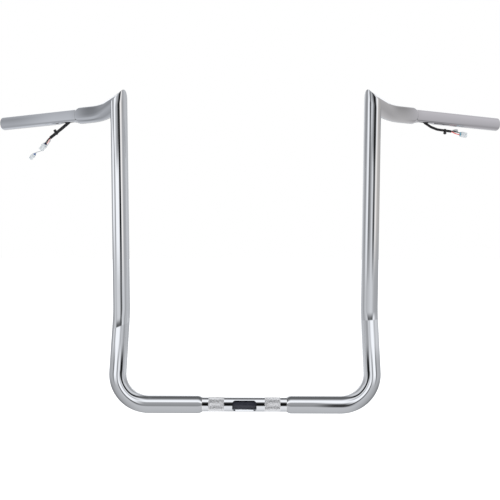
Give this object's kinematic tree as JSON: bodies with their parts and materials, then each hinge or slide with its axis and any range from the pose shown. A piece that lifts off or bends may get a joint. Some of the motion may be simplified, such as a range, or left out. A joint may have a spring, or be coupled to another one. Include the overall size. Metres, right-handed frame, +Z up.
{
  "type": "motorcycle handlebar",
  "caption": "Tall chrome motorcycle handlebar with mitred pointed tops, stepped pull-back grips, slotted knurled clamp tube and black wiring pigtails.",
  "frame": {"origin": "centre of the clamp tube, midway between its two knurled bands", "axes": "+X along the clamp tube towards the rider's left, -Y towards the front of the motorcycle, +Y towards the rider, +Z up"},
  "size_m": [1.0024, 0.2606, 0.5916],
  "materials": {
    "chrome_tube": "polished chrome plate on steel tube",
    "weld_metal": "ground fillet weld, chrome plated with the tube",
    "loom_black": "black woven loom sleeve",
    "braided_sleeve": "black braided nylon sleeve",
    "tie_nylon": "black nylon strap",
    "wire_black": "black wire insulation",
    "wire_red": "red wire insulation",
    "wire_green": "green wire insulation",
    "wire_white": "white wire insulation",
    "connector_white": "translucent white nylon housing",
    "seal_blue": "blue silicone wire seal",
    "terminal_brass": "tinned brass pin",
    "sensor_plastic": "grey moulded plastic",
    "plug_plastic": "blue-grey moulded plug"
  },
  "bodies": {
    "root": {"clamp_tube": "chrome_tube", "left_riser_tube": "chrome_tube", "right_riser_tube": "chrome_tube", "left_elbow_tube": "chrome_tube", "right_elbow_tube": "chrome_tube", "left_grip_tube": "chrome_tube", "right_grip_tube": "chrome_tube", "left_clamp_weld": "weld_metal", "right_clamp_weld": "weld_metal", "left_grip_weld": "weld_metal", "right_grip_weld": "weld_metal", "slot_loom_wrap": "loom_black", "left_inner_loom": "loom_black", "right_inner_loom": "loom_black", "throttle_sensor_body": "sensor_plastic", "sensor_lead": "wire_black"},
    "throttle_rotor": {"throttle_sensor_rotor": "sensor_plastic"},
    "end_plug": {"bar_end_plug": "plug_plastic"},
    "left_tail": {"left_tail_sleeve": "braided_sleeve", "left_cable_tie": "tie_nylon", "left_wires_black": "wire_black", "left_wire_red": "wire_red", "left_wire_green": "wire_green", "left_main_connector": "connector_white", "left_main_connector_seals": "seal_blue", "left_main_connector_pins": "terminal_brass"},
    "left_branch": {"left_branch_wires": "wire_white", "left_branch_connector": "connector_white", "left_branch_connector_seals": "seal_blue", "left_branch_connector_pins": "terminal_brass"},
    "right_tail": {"right_tail_sleeve": "braided_sleeve", "right_cable_tie": "tie_nylon", "right_wire_black": "wire_black", "right_wire_red": "wire_red", "right_main_connector": "connector_white", "right_main_connector_seals": "seal_blue", "right_main_connector_pins": "terminal_brass"},
    "right_branch": {"right_branch_wire": "wire_red", "right_branch_connector": "connector_white", "right_branch_connector_seal": "seal_blue", "right_branch_connector_pin": "terminal_brass"}
  },
  "joints": [
    {"name": "throttle_twist", "type": "hinge", "parent": "root", "child": "throttle_rotor", "pos_m": [-0.4899, 0.22771, 0.52878], "axis": [-0.8981, 0.438, -0.0386], "range_deg": [0, 80]},
    {"name": "end_plug_pull", "type": "slide", "parent": "root", "child": "end_plug", "axis": [0.8981, 0.438, -0.0386], "range_m": [0, 0.02]},
    {"name": "left_tail_swing", "type": "hinge", "parent": "root", "child": "left_tail", "pos_m": [-0.3467, 0.15786, 0.52332], "axis": [-0.4384, -0.8988, 0], "range_deg": [-5, 60]},
    {"name": "left_branch_swing", "type": "hinge", "parent": "left_tail", "child": "left_branch", "pos_m": [-0.38561, 0.17684, 0.49623], "axis": [-0.4384, -0.8988, 0], "range_deg": [-10, 35]},
    {"name": "right_tail_swing", "type": "hinge", "parent": "root", "child": "right_tail", "pos_m": [0.34671, 0.15787, 0.52352], "axis": [-0.4384, 0.8988, 0], "range_deg": [-2, 60]},
    {"name": "right_branch_swing", "type": "hinge", "parent": "right_tail", "child": "right_branch", "pos_m": [0.40226, 0.18496, 0.50963], "axis": [-0.4384, 0.8988, 0], "range_deg": [-5, 30]}
  ]
}
